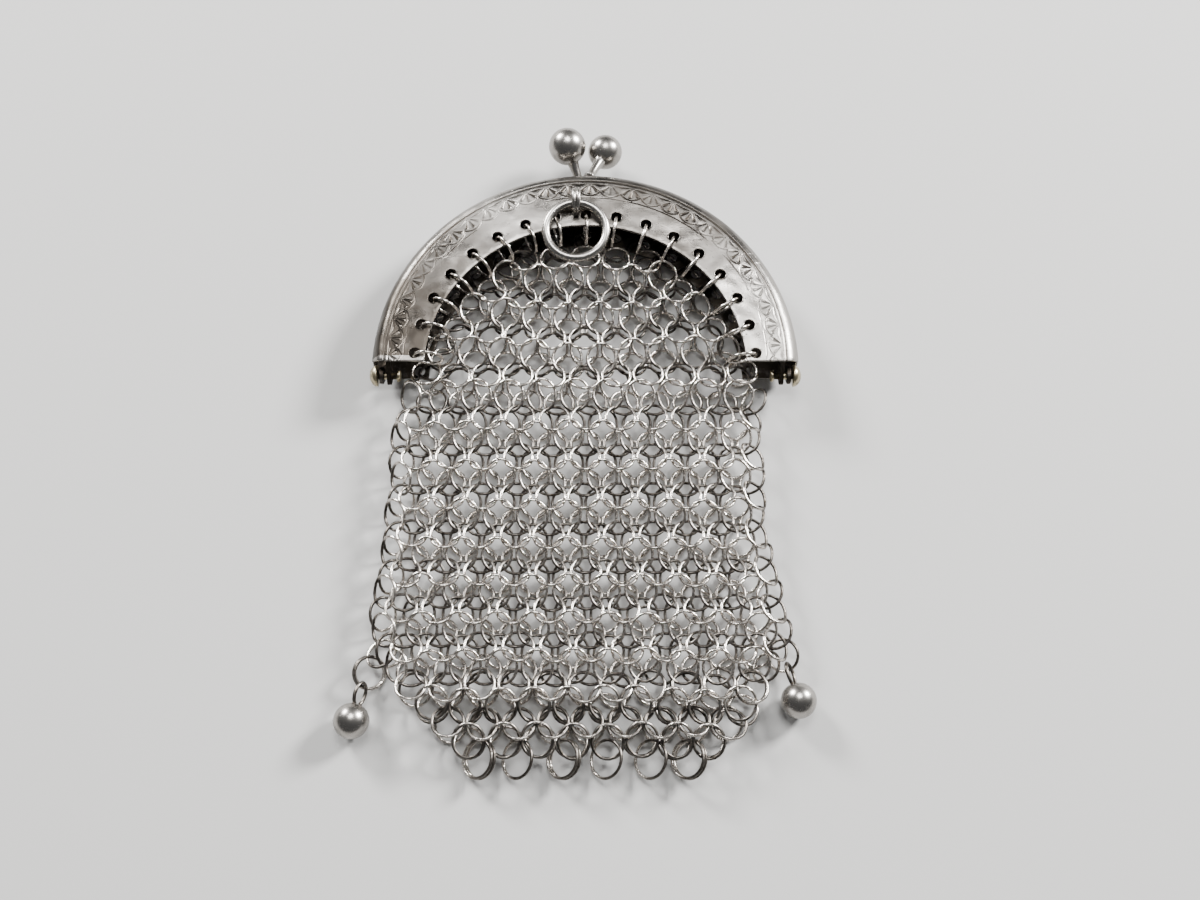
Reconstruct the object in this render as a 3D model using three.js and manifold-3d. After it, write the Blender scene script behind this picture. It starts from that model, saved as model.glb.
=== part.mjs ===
// A small silver mesh coin purse: two hinged arch plates with a two-ball snap clasp,
// a flat bag of linked rings hooked to the plates, a carrying ring and two ball drops.
//
// Millimetres, +Z up. The purse lies on its back: X runs along the hinge line, Y points
// from the hinge to the clasp, and z = 0 is the surface under the bag.

import * as THREE from 'three';
import { ParametricGeometry } from 'three/addons/geometries/ParametricGeometry.js';
import { mergeVertices } from 'three/addons/utils/BufferGeometryUtils.js';
import Module from 'manifold-3d';

const wasm = await Module();
wasm.setup();

// Driving sizes: the frame

const frame_half_width = 30.0;
const frame_depth = 6.5;
const frame_lift = 1.0;
const plate_thickness = 0.4;
const flange_width = 2.0;
const arch_rise = 0.8;
const plate_width = 7.6;
const mouth_radius = frame_half_width - plate_width;
const mouth_drop = 1.0;
const half_gap = 0.3;
const end_relief = 1.2;

// Driving sizes: the hook holes and hook rings

const hole_count = 17;
const hole_inset = 1.4;
const hole_circle_radius = mouth_radius + hole_inset;
const hole_circle_drop = 0.6;
const first_hole_angle = 4.2;
const hole_radius = 0.85;
const hook_radius = 2.05;
const wire_radius = 0.19;
const front_hook_lean = 30;
const back_hook_lean = 57;
const front_eye_rise = 1.0;
const back_eye_rise = 0.55;

// Driving sizes: the hinge

const hinge_drop = 0.9;
const ear_radius = 1.25;
const ear_thickness = 0.6;
const ear_spacing = 1.0;
const ear_inset = 1.5;
const ear_foot = 2.4;
const ear_sink = 0.3;
const rivet_radius = 0.5;
const rivet_clearance = 0.2;
const rivet_head_radius = 1.55;
const rivet_head_height = 1.2;
const rivet_tail_radius = 0.85;
const rivet_tail_height = 0.5;
const side_clearance = 0.3;

// Driving sizes: the clasp

const left_ball_radius = 2.75;
const right_ball_radius = 2.55;
const ball_clearance = 0.35;
const ball_reach = 5.2;
const left_ball_rise = 1.2;
const right_ball_rise = -0.3;
const stem_foot_radius = 0.5;
const stem_neck_radius = 0.75;
const stem_foot_x = 0.6;
const stem_foot_rise = 1.6;

// Driving sizes: the carrying ring and the staple that holds it

const ring_radius = 4.3;
const ring_wire_radius = 0.62;
const ring_tilt = 5;
const ring_over_plate = 0.8;
const ring_clearance = 0.25;
const staple_wire_radius = 0.42;
const staple_half_length = 1.75;
const staple_hole_gap = 0.1;
const staple_drop = 0.2;

// Driving sizes: the bag of mail

const bag_length = 52.6;
const shoulder_inset = 4.0;
const bag_half_width = frame_half_width - shoulder_inset;
const bag_thickness = 5.25;
const bag_edge_gap = 0.8;
const wall_thickness = 1.5;
const edge_wall_thickness = 0.5;
const edge_band = 4.5;
const edge_flat = 1.0;
const rim_width = 1.3;
const seam_band = 3.25;
const least_hollow = 0.1;
const fold_sharpness = 6;
const fold_roundness = 3;
const fold_depth_share = 0.3;
const band_pitch = 5.45;
const band_height = 0.3;
const rest_sink = 0.1;
const mouth_end = 0.5;
const closed_from = 3.0;
const net_gap_width = 3.2;
const net_gap_length = 3.4;
const net_gap_spacing = 11.4;
const eye_radius = 0.70;
const eye_stretch = 1.8;
const margin_width = 1.9;
const corner_eye_radius = 1.4;
const corner_eye_wire = 0.22;

// Driving sizes: the rings and drops below the bag

const seam_level = 1.9;
const seam_thickness = 0.8;
const bottom_ring_radius = 2.45;
const bottom_ring_lean = 38;
const double_ring_offset = 0.55;
const bottom_eye_width = 3.4;
const bottom_eye_length = 1.2;
const bottom_eye_inset = 1.32;
const link_radius = 2.1;
const link_lean = 30;
const drop_ball_radius = 2.35;
const drop_eye_half_length = 1.55;
const drop_eye_half_width = 0.8;
const drop_eye_lean = 60;
const surface_clearance = 0.05;

// How finely round things are cut

const arch_sides = 48;
const flange_steps = 3;
const ring_sides = 10;
const wire_sides = 4;
const thick_ring_sides = 16;
const thick_wire_sides = 6;
const ball_sides = 12;
const ball_rows = 8;
const hole_sides = 6;
const bag_columns = 7;
const cavity_rows = 6;
const smallest_detail = 0.02;

// Worked-out levels and centres

const degrees = Math.PI / 180;
const half_depth = frame_depth / 2;
const frame_middle = frame_lift + half_depth;
const face_level = frame_lift + frame_depth;
const face_radius = frame_half_width - flange_width;
const arch_top = arch_rise + frame_half_width;

// How far helper shapes run past the places where they are cut off
const beyond = 4.0;

// Materials

const plate_silver = new THREE.MeshStandardMaterial({ color: 0xb9b6af, metalness: 1, roughness: 0.32 });
const ball_silver = new THREE.MeshStandardMaterial({ color: 0xd0cdc6, metalness: 1, roughness: 0.18 });
const wire_silver = new THREE.MeshStandardMaterial({ color: 0xc4c0b8, metalness: 1, roughness: 0.25 });
const rivet_silver = new THREE.MeshStandardMaterial({ color: 0xc9bf9f, metalness: 1, roughness: 0.3 });

const purse = new THREE.Group();

// Helpers

function solidOf(geometry) {
  const bare = geometry.index ? geometry.toNonIndexed() : geometry.clone();
  bare.deleteAttribute('normal');
  bare.deleteAttribute('uv');
  const merged = mergeVertices(bare, 1e-5);
  const corners = [];
  const index = merged.index.array;
  for (let i = 0; i < index.length; i += 3) {
    const [a, b, c] = [index[i], index[i + 1], index[i + 2]];
    if (a !== b && b !== c && c !== a) corners.push(a, b, c);
  }
  return new wasm.Manifold(new wasm.Mesh({
    numProp: 3,
    vertProperties: new Float32Array(merged.attributes.position.array),
    triVerts: new Uint32Array(corners),
  }));
}

function geometryOf(solid) {
  const mesh = solid.getMesh();
  const geometry = new THREE.BufferGeometry();
  geometry.setAttribute('position', new THREE.BufferAttribute(mesh.vertProperties, 3));
  geometry.setIndex(new THREE.BufferAttribute(mesh.triVerts, 1));
  geometry.computeVertexNormals();
  return geometry;
}

function addMesh(name, geometry, material) {
  const mesh = new THREE.Mesh(geometry, material);
  mesh.name = name;
  purse.add(mesh);
  return mesh;
}

function mix(a, b, share) {
  return a + (b - a) * share;
}

function smooth(from, to, value) {
  const share = Math.min(1, Math.max(0, (value - from) / (to - from)));
  return share * share * (3 - 2 * share);
}

// A closed solid turned about the Z axis from a profile of [radius, z] points.
function turned(profile, sides) {
  const points = profile.map(([radius, z]) => new THREE.Vector2(radius, z));
  points.push(points[0].clone());
  return new THREE.LatheGeometry(points, sides).rotateX(Math.PI / 2);
}

// An upright round bar along Z.
function upright(x, y, z0, z1, radius, sides) {
  const geometry = new THREE.CylinderGeometry(radius, radius, z1 - z0, sides);
  return geometry.rotateX(Math.PI / 2).translate(x, y, (z0 + z1) / 2);
}

// A flat shape drawn in Y and Z, given its thickness along X.
function acrossX(points, x0, x1) {
  const shape = new THREE.Shape(points.map(([y, z]) => new THREE.Vector2(y, z)));
  const geometry = new THREE.ExtrudeGeometry(shape, { depth: x1 - x0, bevelEnabled: false });
  const axes = new THREE.Matrix4().makeBasis(
    new THREE.Vector3(0, 1, 0),
    new THREE.Vector3(0, 0, 1),
    new THREE.Vector3(1, 0, 0),
  );
  return geometry.applyMatrix4(axes).translate(x0, 0, 0);
}

// A straight tapered bar between two points.
function bar(from, to, from_radius, to_radius, sides) {
  const run = new THREE.Vector3().subVectors(to, from);
  const geometry = new THREE.CylinderGeometry(to_radius, from_radius, run.length(), sides);
  const up = new THREE.Vector3(0, 1, 0);
  const turn = new THREE.Quaternion().setFromUnitVectors(up, run.normalize());
  const middle = new THREE.Vector3().addVectors(from, to).multiplyScalar(0.5);
  return geometry.applyQuaternion(turn).translate(middle.x, middle.y, middle.z);
}

// A round wire swept through a row of points, closed at both ends.
function wireThrough(points, radius, steps) {
  const section = [];
  for (let i = 0; i < thick_wire_sides; i += 1) {
    const angle = (i / thick_wire_sides) * 2 * Math.PI;
    section.push(new THREE.Vector2(radius * Math.cos(angle), radius * Math.sin(angle)));
  }
  const path = new THREE.CatmullRomCurve3(points);
  return new THREE.ExtrudeGeometry(new THREE.Shape(section), { steps, extrudePath: path });
}

// Places a ring mesh so that its plane holds the directions along and across.
function layRing(mesh, centre, along, across) {
  const normal = new THREE.Vector3().crossVectors(along, across).normalize();
  const first = along.clone().normalize();
  const second = new THREE.Vector3().crossVectors(normal, first);
  mesh.quaternion.setFromRotationMatrix(new THREE.Matrix4().makeBasis(first, second, normal));
  mesh.position.copy(centre);
}

function addWireRing(name, radius, centre, along, across) {
  const geometry = new THREE.TorusGeometry(radius, wire_radius, wire_sides, ring_sides);
  layRing(addMesh(name, geometry, wire_silver), centre, along, across);
}

// A direction that leans from the flat direction towards +Z by an angle in degrees.
function leaning(flat, lean) {
  const level = flat.clone().multiplyScalar(Math.cos(lean * degrees));
  return level.add(new THREE.Vector3(0, 0, Math.sin(lean * degrees)));
}

// Hook holes: a circle of their own, a little below the arch's centre

function holePlaces() {
  const step = (180 - 2 * first_hole_angle) / (hole_count - 1);
  const places = [];
  for (let i = 0; i < hole_count; i += 1) {
    const angle = (first_hole_angle + i * step) * degrees;
    const outward = new THREE.Vector3(Math.cos(angle), Math.sin(angle), 0);
    places.push({
      x: hole_circle_radius * outward.x,
      y: hole_circle_radius * outward.y - hole_circle_drop,
      outward,
    });
  }
  return places;
}

const holes = holePlaces();
const top_hole = holes[Math.floor(hole_count / 2)];

// Frame halves: z = 0 is the plane between the halves here, and +z is outward

function framePlate() {
  const flange_drop = half_depth - half_gap / 2;
  const inner_radius = mouth_radius - mouth_drop - arch_rise - beyond;
  const outside = [[inner_radius, half_depth]];
  const inside = [];
  for (let i = 0; i <= flange_steps; i += 1) {
    const turn = (i / flange_steps) * Math.PI / 2;
    const reach = Math.sin(turn);
    const drop = 1 - Math.cos(turn);
    outside.push([face_radius + flange_width * reach, half_depth - flange_drop * drop]);
    inside.unshift([
      face_radius + (flange_width - plate_thickness) * reach,
      half_depth - plate_thickness - (flange_drop - plate_thickness) * drop,
    ]);
  }
  const profile = [...outside, ...inside, [inner_radius, half_depth - plate_thickness]].reverse();
  const reach = frame_half_width + beyond;
  const mouth = upright(0, -mouth_drop, -frame_depth, frame_depth, mouth_radius, arch_sides);
  const lower_half = acrossX([
    [-reach, frame_depth],
    [-reach, -frame_depth],
    [end_relief, -frame_depth],
    [end_relief, 0],
    [0, half_depth],
    [0, frame_depth],
  ], -reach, reach);
  let plate = solidOf(turned(profile, arch_sides).translate(0, arch_rise, 0));
  plate = plate.subtract(solidOf(mouth)).subtract(solidOf(lower_half));
  for (const hole of holes) {
    plate = plate.subtract(solidOf(upright(hole.x, hole.y, 0, frame_depth, hole_radius, hole_sides)));
  }
  return plate;
}

// Hinge ears at x = +-ear_x, each a round eye on a neck from the plate.
function withEars(plate, ear_x) {
  const foot_level = half_depth - ear_sink;
  const bore_radius = rivet_radius + rivet_clearance;
  let result = plate;
  for (const side of [-1, 1]) {
    const x0 = side * ear_x - ear_thickness / 2;
    const neck = acrossX([
      [-hinge_drop - ear_radius, 0],
      [-hinge_drop + ear_radius, 0],
      [ear_foot, foot_level],
      [end_relief / 2, foot_level],
    ], x0, x0 + ear_thickness);
    const eye = new THREE.CylinderGeometry(ear_radius, ear_radius, ear_thickness, 2 * hole_sides);
    const bore = new THREE.CylinderGeometry(bore_radius, bore_radius, 3 * ear_thickness, hole_sides);
    for (const round of [eye, bore]) round.rotateZ(Math.PI / 2).translate(side * ear_x, -hinge_drop, 0);
    result = result.add(solidOf(neck)).add(solidOf(eye)).subtract(solidOf(bore));
  }
  return result;
}

// A clasp ball on the stem that is soldered to the flange.
function claspBall(foot, centre, radius) {
  const ball = new THREE.SphereGeometry(radius, ball_sides, ball_rows);
  const stem = bar(foot, centre, stem_foot_radius, stem_neck_radius, hole_sides);
  return solidOf(ball.translate(centre.x, centre.y, centre.z)).add(solidOf(stem));
}

const outer_ear_x = frame_half_width - ear_inset;
const inner_ear_x = outer_ear_x - ear_spacing;
const ball_offset = (left_ball_radius + right_ball_radius + ball_clearance) / 2;
const ball_y = arch_top + ball_reach;
const stem_foot_y = arch_top - plate_thickness;

// The staple stands beside the top hook hole and arches over the carrying ring's wire.
const staple_x = top_hole.x - hole_radius - staple_hole_gap - staple_wire_radius;
const staple_foot_y = top_hole.y - staple_drop;
const ring_pivot_y = staple_foot_y + staple_wire_radius + ring_clearance + ring_wire_radius;
const ring_pivot_z = face_level + ring_over_plate + ring_wire_radius;

function staple() {
  const foot = half_depth - plate_thickness / 2;
  const ring_top = ring_pivot_z + ring_wire_radius - frame_middle;
  const bend_level = ring_top + ring_clearance + staple_wire_radius - staple_half_length;
  const middle_y = staple_foot_y + staple_half_length;
  const points = [new THREE.Vector3(staple_x, staple_foot_y, foot)];
  for (const turn of [0, 45, 90, 135, 180]) {
    points.push(new THREE.Vector3(
      staple_x,
      middle_y - staple_half_length * Math.cos(turn * degrees),
      bend_level + staple_half_length * Math.sin(turn * degrees),
    ));
  }
  points.push(new THREE.Vector3(staple_x, middle_y + staple_half_length, foot));
  return wireThrough(points, staple_wire_radius, thick_ring_sides);
}

function addFrame() {
  const plate = framePlate();

  const front_foot = new THREE.Vector3(stem_foot_x, stem_foot_y, stem_foot_rise);
  const front_ball = new THREE.Vector3(ball_offset, ball_y, right_ball_rise);
  const front = withEars(plate, inner_ear_x)
    .add(claspBall(front_foot, front_ball, right_ball_radius))
    .add(solidOf(staple()));
  addMesh('front_frame', geometryOf(front), plate_silver).position.z = frame_middle;

  // The back half is turned over about Y, so its own x and z run the other way.
  const back_foot = new THREE.Vector3(stem_foot_x, stem_foot_y, stem_foot_rise);
  const back_ball = new THREE.Vector3(ball_offset, ball_y, -left_ball_rise);
  const back = withEars(plate, outer_ear_x).add(claspBall(back_foot, back_ball, left_ball_radius));
  const back_mesh = addMesh('back_frame', geometryOf(back), plate_silver);
  back_mesh.position.z = frame_middle;
  back_mesh.rotation.y = Math.PI;
}

// Rivets through both ears, with a domed head outside

function addRivet(name, side) {
  const tail_face = inner_ear_x - ear_thickness / 2 - side_clearance;
  const head_face = outer_ear_x + ear_thickness / 2 + side_clearance;
  const profile = [
    [0, tail_face - rivet_tail_height],
    [rivet_tail_radius, tail_face - rivet_tail_height],
    [rivet_tail_radius, tail_face],
    [rivet_radius, tail_face],
    [rivet_radius, head_face],
    [rivet_head_radius, head_face],
  ];
  for (const turn of [30, 60]) {
    profile.push([
      rivet_head_radius * Math.cos(turn * degrees),
      head_face + rivet_head_height * Math.sin(turn * degrees),
    ]);
  }
  profile.push([0, head_face + rivet_head_height]);
  const mesh = addMesh(name, geometryOf(solidOf(turned(profile, ring_sides))), rivet_silver);
  mesh.rotation.y = side * Math.PI / 2;
  mesh.position.set(0, -hinge_drop, frame_middle);
}

// Carrying ring

function addCarryingRing() {
  const geometry = new THREE.TorusGeometry(
    ring_radius, ring_wire_radius, thick_wire_sides + 2, thick_ring_sides,
  );
  const down = leaning(new THREE.Vector3(0, -1, 0), -ring_tilt);
  const centre = new THREE.Vector3(staple_x, ring_pivot_y, ring_pivot_z).addScaledVector(down, ring_radius);
  const mesh = addMesh('carrying_ring', geometry, ball_silver);
  layRing(mesh, centre, down, new THREE.Vector3(1, 0, 0));
}

// Hook rings: each holds the plate's margin and the bag's edge between its hole and its eye

const front_hole_level = face_level - plate_thickness / 2;
const back_hole_level = frame_lift + plate_thickness / 2;
const front_eye_level = frame_middle + front_eye_rise;
const back_eye_level = frame_lift + back_eye_rise;

function eyePlace(hole, hole_level, eye_level) {
  const fall = hole_level - eye_level;
  const run = Math.sqrt(4 * hook_radius * hook_radius - fall * fall);
  return new THREE.Vector3(hole.x - run * hole.outward.x, hole.y - run * hole.outward.y, eye_level);
}

function addHooks(side, hole_level, eye_level, lean, up) {
  holes.forEach((hole, i) => {
    const from = new THREE.Vector3(hole.x, hole.y, hole_level);
    const to = eyePlace(hole, hole_level, eye_level);
    const along = new THREE.Vector3().subVectors(from, to).normalize();
    const sideways = new THREE.Vector3(hole.outward.y, -hole.outward.x, 0);
    const over = new THREE.Vector3().crossVectors(sideways, along).multiplyScalar(up);
    const across = sideways.multiplyScalar(Math.sin(lean * degrees))
      .addScaledVector(over, Math.cos(lean * degrees));
    const centre = from.add(to).multiplyScalar(0.5);
    const number = String(i + 1).padStart(2, '0');
    addWireRing(`${side}_hook_${number}`, hook_radius, centre, along, across);
  });
}

// Bag of mail: one hollow flattened shell, open along the arch

// Sections down the bag. down is a share of bag_length below the hinge line, left and right
// are shares of bag_half_width, and deep is a share of the bag's full thickness.
const bag_sections = [
  { down: 0.00, left: 0.81, right: 0.81, deep: 1.00 },
  { down: 0.06, left: 0.97, right: 0.95, deep: 1.00 },
  { down: 0.19, left: 1.02, right: 0.94, deep: 1.00 },
  { down: 0.48, left: 1.04, right: 0.94, deep: 1.00 },
  { down: 0.62, left: 1.07, right: 0.99, deep: 1.00 },
  { down: 0.73, left: 1.07, right: 1.03, deep: 0.97 },
  { down: 0.82, left: 0.98, right: 0.96, deep: 0.88 },
  { down: 0.90, left: 0.82, right: 0.85, deep: 0.66 },
  { down: 0.945, left: 0.72, right: 0.77, deep: 0.00 },
  { down: 1.00, left: 0.61, right: 0.66, deep: 0.00 },
];

function bagSection(y) {
  const down = Math.min(1, Math.max(0, -y / bag_length));
  let i = 1;
  while (i < bag_sections.length - 1 && bag_sections[i].down < down) i += 1;
  const [above, below] = [bag_sections[i - 1], bag_sections[i]];
  const share = (down - above.down) / (below.down - above.down);
  return {
    left: mix(above.left, below.left, share) * bag_half_width,
    right: mix(above.right, below.right, share) * bag_half_width,
    deep: mix(above.deep, below.deep, share),
  };
}

const edge_radius = mouth_radius - bag_edge_gap - (mouth_drop - hole_circle_drop);

// How near a place is to the arch edge, where the walls rise to their hooks: 0 to 1.
function nearEdge(x, y) {
  const reach = Math.hypot(x, Math.max(0, y + hole_circle_drop));
  return smooth(edge_radius - edge_band, edge_radius - edge_flat, reach);
}

// The four skins of the bag at one place: outer and inner faces of the front and back walls.
function bagLevels(x, y, across, crest) {
  const { deep } = bagSection(y);
  const closing = smooth(-mouth_end, closed_from, -y);
  const rounded = Math.pow(1 - Math.pow(Math.abs(across), fold_sharpness), 1 / fold_roundness);
  const bow = mix(1, rounded, closing);
  const middle = mix(seam_level, bag_thickness / 2, deep);
  const half = mix(seam_thickness / 2, bag_thickness / 2, deep * mix(fold_depth_share, 1, bow));
  const edge = nearEdge(x, y);
  const front_edge = front_eye_level + edge_wall_thickness / 2;
  const back_edge = back_eye_level - edge_wall_thickness / 2;
  const wall = mix(wall_thickness, edge_wall_thickness, edge);
  const front = mix(middle + half + crest * band_height * deep * bow, front_edge, edge);
  const back = mix(Math.max(0, middle - half - rest_sink), back_edge, edge);
  return { front, back, wall };
}

// A flat closed pillow from rows of places; levels gives the top and bottom at each.
function pillow(rows, sides, levels) {
  const around = 2 * bag_columns + 2;
  const last = rows.length - 1;
  const surface = (u, v, target) => {
    const step = Math.round((1 - u) * around) % around;
    const row = rows[Math.round(v * last)];
    const on_top = step <= bag_columns;
    const column = on_top ? step : around - 1 - step;
    const across = Math.sin((column / bag_columns - 0.5) * Math.PI);
    const { left, right } = sides(row.y);
    const x = across < 0 ? across * left : across * right;
    const { top, bottom } = levels(x, row.y, across, row.crest);
    const z = row.shut ? (top + bottom) / 2 : on_top ? top : bottom;
    target.set(x, row.y, z);
  };
  return new ParametricGeometry(surface, around, last);
}

function bagOutline(y) {
  const section = bagSection(y);
  const spread = y > 0 ? beyond * smooth(0, beyond, y) : 0;
  return { left: section.left + spread, right: section.right + spread };
}

function bagShell() {
  const top_y = edge_radius - hole_circle_drop + beyond;
  const half_band = band_pitch / 2;
  const count = Math.round((bag_length + top_y) / half_band);
  const rows = [{ y: top_y, crest: 0, shut: true }];
  for (let i = 0; i <= count; i += 1) {
    rows.push({ y: mix(top_y, -bag_length, i / count), crest: i % 2, shut: false });
  }
  rows.push({ y: -bag_length, crest: 0, shut: true });
  const outer = pillow(rows, bagOutline, (x, y, across, crest) => {
    const { front, back } = bagLevels(x, y, across, crest);
    return { top: front, bottom: back };
  });

  const hollow_rows = [{ y: top_y + beyond, crest: 0, shut: true }];
  const hollow_end = -bag_length + seam_band;
  for (let i = 0; i <= cavity_rows; i += 1) {
    hollow_rows.push({ y: mix(top_y + beyond, hollow_end, i / cavity_rows), crest: 0, shut: false });
  }
  hollow_rows.push({ y: hollow_end, crest: 0, shut: true });
  const cavity = pillow(hollow_rows, (y) => {
    const section = bagOutline(y);
    const inset = mix(-beyond, rim_width, smooth(-mouth_end, closed_from, -y));
    return { left: section.left - inset, right: section.right - inset };
  }, (x, y, across) => {
    const { front, back, wall } = bagLevels(x, y, across, 0);
    const middle = (front + back) / 2;
    return {
      top: Math.max(front - wall, middle + least_hollow / 2),
      bottom: Math.min(back + wall, middle - least_hollow / 2),
    };
  });

  // The walls are thin along their edges, where the hook rings pass round them.
  const inside = edge_radius - margin_width;
  const back_edge = back_eye_level + edge_wall_thickness / 2;
  const front_edge = front_eye_level - edge_wall_thickness / 2;
  const trimmed = [
    [0, -frame_depth],
    [inside - edge_wall_thickness, -frame_depth],
    [inside - edge_wall_thickness, 0],
    [inside, back_edge - edge_wall_thickness],
    [edge_radius, back_edge - edge_wall_thickness],
    [edge_radius, back_edge],
    [inside, back_edge],
    [inside, front_edge],
    [edge_radius, front_edge],
    [edge_radius, 2 * frame_depth],
    [0, 2 * frame_depth],
  ];
  const arch = solidOf(turned(trimmed, arch_sides).translate(0, -hole_circle_drop, 0));
  const below = solidOf(new THREE.BoxGeometry(
    4 * bag_half_width, 2 * bag_length, 4 * frame_depth,
  ).translate(0, -bag_length - hole_circle_drop, 0));
  return solidOf(outer).subtract(solidOf(cavity)).intersect(arch.add(below));
}

// Upright cuts through both walls: the coarse gaps of the net.
function netGaps() {
  const cuts = [];
  const rows = Math.floor((bag_length + edge_radius) / band_pitch) - 1;
  const per_side = Math.ceil(bag_half_width / net_gap_spacing);
  for (let j = 0; j < rows; j += 1) {
    const y = edge_radius - edge_band - (j + 0.5) * band_pitch;
    const { left, right } = bagSection(y);
    const arch_reach = y > 0 ? Math.sqrt(edge_radius ** 2 - y ** 2) - edge_band : bag_half_width;
    const low = -Math.min(left - 2 * rim_width, arch_reach) + net_gap_width / 2;
    const high = Math.min(right - 2 * rim_width, arch_reach) - net_gap_width / 2;
    const start = j % 2 === 0 ? 0 : net_gap_spacing / 2;
    for (let k = -per_side; k <= per_side; k += 1) {
      const x = start + k * net_gap_spacing;
      if (x < low || x > high) continue;
      const cut = new THREE.CylinderGeometry(1, 1, 4 * frame_depth, 4).rotateX(Math.PI / 2);
      cuts.push(cut.scale(net_gap_width / 2, net_gap_length / 2, 1).translate(x, y, 0));
    }
  }
  return cuts;
}

// An eye for one hook ring, stretched along the bag's edge.
function hookEye(hole, hole_level, eye_level, low, high) {
  const place = eyePlace(hole, hole_level, eye_level);
  const cut = new THREE.CylinderGeometry(eye_radius, eye_radius, high - low, 6).rotateX(Math.PI / 2);
  const angle = Math.atan2(hole.outward.y, hole.outward.x);
  cut.scale(1, eye_stretch, 1).rotateZ(angle);
  return cut.translate(place.x, place.y, (low + high) / 2);
}

// Bottom rings: x is a share of bag_half_width, and twin marks a doubled ring.
const bottom_rings = [
  { x: -0.52, twin: true },
  { x: -0.33, twin: false },
  { x: -0.10, twin: true },
  { x: 0.11, twin: false },
  { x: 0.33, twin: false },
  { x: 0.52, twin: true },
];
const bottom_ring_y = -bag_length - bottom_ring_radius + bottom_eye_inset;

// Corner links and drops. Each side's chain runs from the eye in the bag's corner through
// its links to the ball; places are [x, y] shares of bag_half_width and bag_length.
const chains = [
  {
    side: 'left',
    eye: [-0.9645, -0.7376],
    links: [[-1.035, -0.757], [-1.094, -0.806]],
    ball: [-1.160, -0.930],
  },
  {
    side: 'right',
    eye: [0.9604, -0.7270],
    links: [[1.012, -0.762]],
    ball: [1.075, -0.880],
  },
];

const link_level = link_radius * Math.sin(link_lean * degrees) + wire_radius + surface_clearance;

function flatPlace([x, y], z) {
  return new THREE.Vector3(x * bag_half_width, y * bag_length, z);
}

function addBag() {
  let bag = bagShell();
  const cuts = netGaps();
  for (const hole of holes) {
    cuts.push(hookEye(hole, front_hole_level, front_eye_level, bag_thickness / 2, 2 * frame_depth));
    cuts.push(hookEye(hole, back_hole_level, back_eye_level, -frame_depth, bag_thickness / 2));
  }
  for (const { x } of bottom_rings) {
    const eye = new THREE.BoxGeometry(bottom_eye_width, bottom_eye_length, frame_depth);
    cuts.push(eye.translate(x * bag_half_width, bottom_ring_y + bottom_ring_radius, seam_level));
  }
  const corner_reach = link_radius + wire_radius + side_clearance;
  for (const { links } of chains) {
    const link = flatPlace(links[0], 0);
    cuts.push(upright(link.x, link.y, -frame_depth, 2 * frame_depth, corner_reach, ring_sides));
  }
  for (const cut of cuts) bag = bag.subtract(solidOf(cut));
  for (const { eye } of chains) {
    const corner = new THREE.TorusGeometry(corner_eye_radius, corner_eye_wire, wire_sides, ring_sides);
    const place = flatPlace(eye, link_level);
    bag = bag.add(solidOf(corner.translate(place.x, place.y, place.z)));
  }
  addMesh('mail_bag', geometryOf(bag.asOriginal().simplify(smallest_detail)), wire_silver);
}

// Bottom rings and drops

function addBottomRings() {
  const along = new THREE.Vector3(0, -1, 0);
  const across = leaning(new THREE.Vector3(1, 0, 0), bottom_ring_lean);
  const normal = new THREE.Vector3().crossVectors(along, across).normalize();
  bottom_rings.forEach(({ x, twin }, i) => {
    const middle = new THREE.Vector3(x * bag_half_width, bottom_ring_y, seam_level);
    const offset = twin ? double_ring_offset / 2 : 0;
    const centre = middle.clone().addScaledVector(normal, -offset);
    addWireRing(`bottom_ring_${i + 1}`, bottom_ring_radius, centre, along, across);
    if (!twin) return;
    const beside = middle.clone().addScaledVector(normal, offset);
    addWireRing(`bottom_ring_${i + 1}_twin`, bottom_ring_radius, beside, along, across);
  });
}

function addDrop(name, ball_place, eye_direction) {
  const centre = flatPlace(ball_place, drop_ball_radius + surface_clearance);
  const ball = new THREE.SphereGeometry(drop_ball_radius, ball_sides, ball_rows);
  const eye = new THREE.TorusGeometry(drop_eye_half_width, wire_radius, wire_sides, ring_sides);
  eye.scale(drop_eye_half_length / drop_eye_half_width, 1, 1);
  const across = new THREE.Vector3(-eye_direction.y, eye_direction.x, 0);
  const upright_across = leaning(across, drop_eye_lean);
  const normal = new THREE.Vector3().crossVectors(eye_direction, upright_across).normalize();
  eye.applyMatrix4(new THREE.Matrix4().makeBasis(eye_direction, upright_across, normal));
  const reach = eye_direction.clone().multiplyScalar(drop_ball_radius + drop_eye_half_length - wire_radius);
  eye.translate(reach.x, reach.y, reach.z);
  const mesh = addMesh(name, geometryOf(solidOf(ball).add(solidOf(eye))), ball_silver);
  mesh.position.copy(centre);
}

function addChain({ side, eye, links, ball }) {
  const stops = [eye, ...links, ball].map((place) => flatPlace(place, 0));
  links.forEach((place, i) => {
    const along = new THREE.Vector3().subVectors(stops[i + 2], stops[i]).normalize();
    const flat = new THREE.Vector3(-along.y, along.x, 0);
    const across = leaning(flat, i % 2 === 0 ? link_lean : -link_lean);
    addWireRing(`${side}_link_${i + 1}`, link_radius, flatPlace(place, link_level), along, across);
  });
  const last = stops[stops.length - 2];
  const towards = new THREE.Vector3().subVectors(last, stops[stops.length - 1]).normalize();
  addDrop(`${side}_drop`, ball, towards);
}

addFrame();
addRivet('rivet_left', -1);
addRivet('rivet_right', 1);
addCarryingRing();
addHooks('front', front_hole_level, front_eye_level, front_hook_lean, 1);
addHooks('back', back_hole_level, back_eye_level, back_hook_lean, -1);
addBag();
addBottomRings();
for (const chain of chains) addChain(chain);

export default purse;
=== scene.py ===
"""The looks of a small silver mesh coin purse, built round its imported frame."""

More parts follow.
